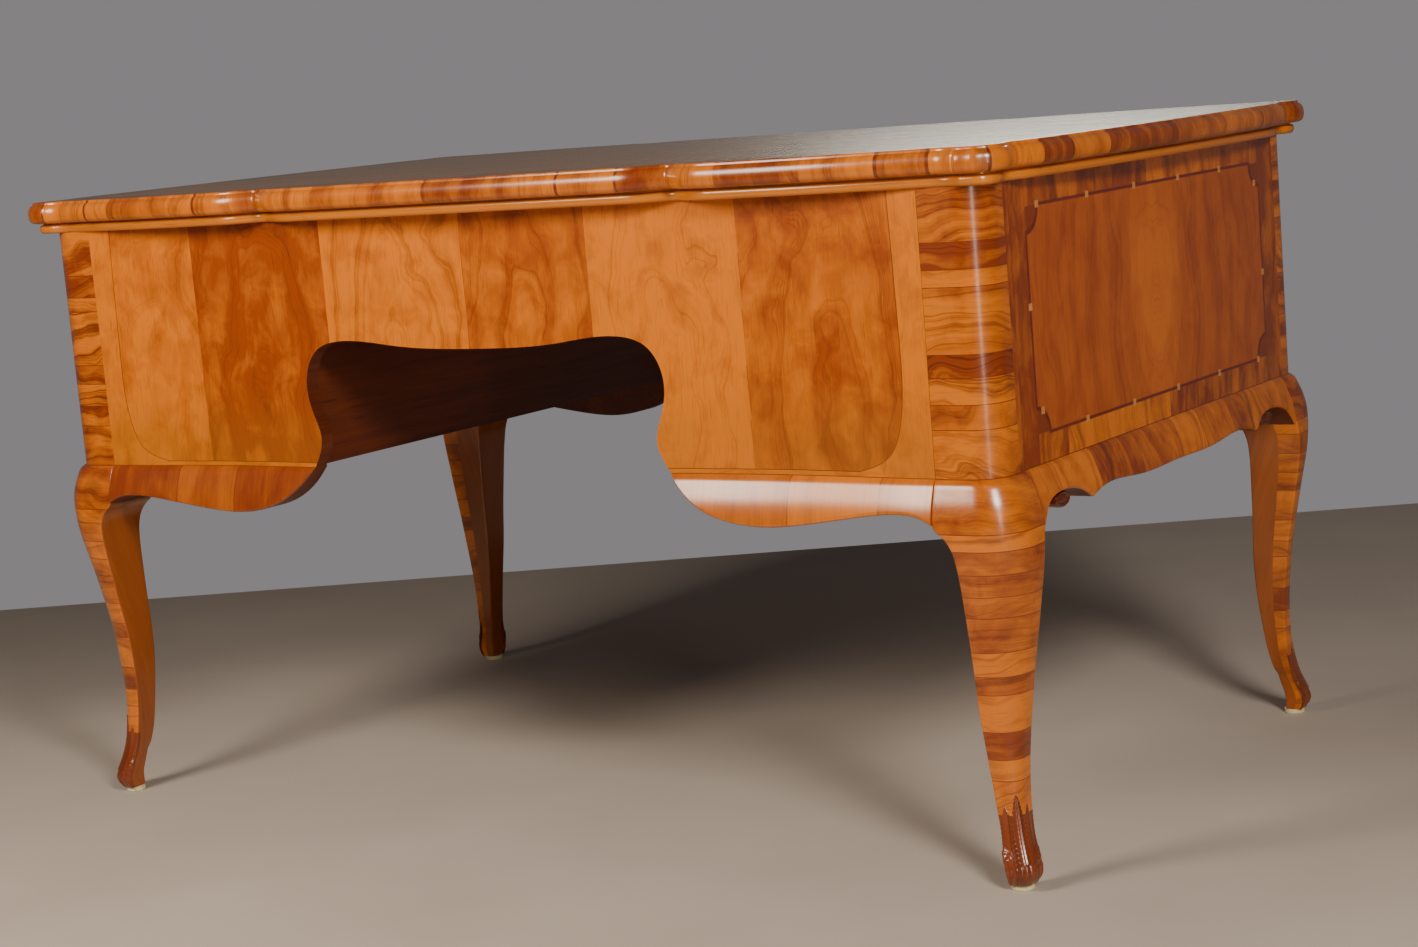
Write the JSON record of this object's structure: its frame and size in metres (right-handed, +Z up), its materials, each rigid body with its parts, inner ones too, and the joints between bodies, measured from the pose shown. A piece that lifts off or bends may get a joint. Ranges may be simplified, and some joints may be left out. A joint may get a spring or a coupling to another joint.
{
  "type": "kneehole writing desk",
  "caption": "Veneered walnut kneehole desk on cabriole legs: lobed top, arched kneehole open right through, sliding drawers with swinging bail handles.",
  "frame": {"origin": "on the floor, under the middle of the desk", "axes": "+X along the length, towards the left end of a person who faces the drawers; +Y towards the drawers; +Z up"},
  "size_m": [1.426, 0.8918, 0.78],
  "materials": {
    "walnut_face": "glossy shellac over figured walnut veneer",
    "walnut_side": "glossy shellac over flame-figured walnut veneer with string inlay",
    "walnut_crossband": "glossy shellac over cross-banded walnut veneer",
    "walnut_top": "glossy shellac, cross-banded rounded edge",
    "moulding_wood": "satin shellac",
    "carcase_wood": "plain stained softwood",
    "drawer_wood": "plain beech, unfinished",
    "brass": "aged cast brass",
    "glide_plastic": "cream nylon glide"
  },
  "bodies": {
    "case": {"back_bottom_rail_left": "walnut_crossband", "back_bottom_rail_right": "walnut_crossband", "back_panel": "walnut_face", "drawer_divider_left": "walnut_face", "drawer_divider_right": "walnut_face", "drawer_guides": "carcase_wood", "drawer_kickers": "carcase_wood", "drawer_runners": "carcase_wood", "drawer_stops": "carcase_wood", "front_apron": "walnut_face", "front_bottom_rail_left": "walnut_crossband", "front_bottom_rail_right": "walnut_crossband", "front_stile_left": "walnut_face", "front_stile_right": "walnut_face", "front_top_rail": "walnut_face", "glides": "glide_plastic", "glue_blocks": "carcase_wood", "inner_wall_left": "carcase_wood", "inner_wall_right": "carcase_wood", "kneehole_ceiling": "carcase_wood", "leg_back_left": "walnut_crossband", "leg_back_right": "walnut_crossband", "leg_front_left": "walnut_crossband", "leg_front_right": "walnut_crossband", "pedestal_bottom_left": "carcase_wood", "pedestal_bottom_right": "carcase_wood", "side_panel_left": "walnut_side", "side_panel_right": "walnut_side", "side_rail_left": "walnut_crossband", "side_rail_right": "walnut_crossband", "top_board": "walnut_top", "top_moulding_back": "moulding_wood", "top_moulding_front": "moulding_wood", "top_moulding_left": "moulding_wood", "top_moulding_right": "moulding_wood"},
    "drawer_centre": {"drawer_centre_bottom": "drawer_wood", "drawer_centre_box": "drawer_wood", "drawer_centre_fittings": "brass", "drawer_centre_front": "walnut_face"},
    "handle_centre": {"drawer_centre_handle": "brass"},
    "drawer_left_upper": {"drawer_left_upper_bottom": "drawer_wood", "drawer_left_upper_box": "drawer_wood", "drawer_left_upper_fittings": "brass", "drawer_left_upper_front": "walnut_face"},
    "handle_left_upper": {"drawer_left_upper_handle": "brass"},
    "drawer_left_lower": {"drawer_left_lower_bottom": "drawer_wood", "drawer_left_lower_box": "drawer_wood", "drawer_left_lower_fittings": "brass", "drawer_left_lower_front": "walnut_face"},
    "handle_left_lower": {"drawer_left_lower_handle": "brass"},
    "drawer_right_upper": {"drawer_right_upper_bottom": "drawer_wood", "drawer_right_upper_box": "drawer_wood", "drawer_right_upper_fittings": "brass", "drawer_right_upper_front": "walnut_face"},
    "handle_right_upper": {"drawer_right_upper_handle": "brass"},
    "drawer_right_lower": {"drawer_right_lower_bottom": "drawer_wood", "drawer_right_lower_box": "drawer_wood", "drawer_right_lower_fittings": "brass", "drawer_right_lower_front": "walnut_face"},
    "handle_right_lower": {"drawer_right_lower_handle": "brass"}
  },
  "joints": [
    {"name": "drawer_centre_slide", "type": "slide", "parent": "case", "child": "drawer_centre", "axis": [0, 1, 0], "range_m": [0, 0.4]},
    {"name": "handle_centre_swing", "type": "hinge", "parent": "drawer_centre", "child": "handle_centre", "pos_m": [0, 0.415, 0.66395], "axis": [1, 0, 0], "range_deg": [-18, 100]},
    {"name": "drawer_left_upper_slide", "type": "slide", "parent": "case", "child": "drawer_left_upper", "axis": [0, 1, 0], "range_m": [0, 0.4]},
    {"name": "handle_left_upper_swing", "type": "hinge", "parent": "drawer_left_upper", "child": "handle_left_upper", "pos_m": [0.445, 0.41831, 0.6555], "axis": [1, 0, 0], "range_deg": [-18, 100]},
    {"name": "drawer_left_lower_slide", "type": "slide", "parent": "case", "child": "drawer_left_lower", "axis": [0, 1, 0], "range_m": [0, 0.4]},
    {"name": "handle_left_lower_swing", "type": "hinge", "parent": "drawer_left_lower", "child": "handle_left_lower", "pos_m": [0.445, 0.41831, 0.5145], "axis": [1, 0, 0], "range_deg": [-18, 100]},
    {"name": "drawer_right_upper_slide", "type": "slide", "parent": "case", "child": "drawer_right_upper", "axis": [0, 1, 0], "range_m": [0, 0.4]},
    {"name": "handle_right_upper_swing", "type": "hinge", "parent": "drawer_right_upper", "child": "handle_right_upper", "pos_m": [-0.445, 0.41831, 0.6555], "axis": [1, 0, 0], "range_deg": [-18, 100]},
    {"name": "drawer_right_lower_slide", "type": "slide", "parent": "case", "child": "drawer_right_lower", "axis": [0, 1, 0], "range_m": [0, 0.4]},
    {"name": "handle_right_lower_swing", "type": "hinge", "parent": "drawer_right_lower", "child": "handle_right_lower", "pos_m": [-0.445, 0.41831, 0.5145], "axis": [1, 0, 0], "range_deg": [-18, 100]}
  ]
}
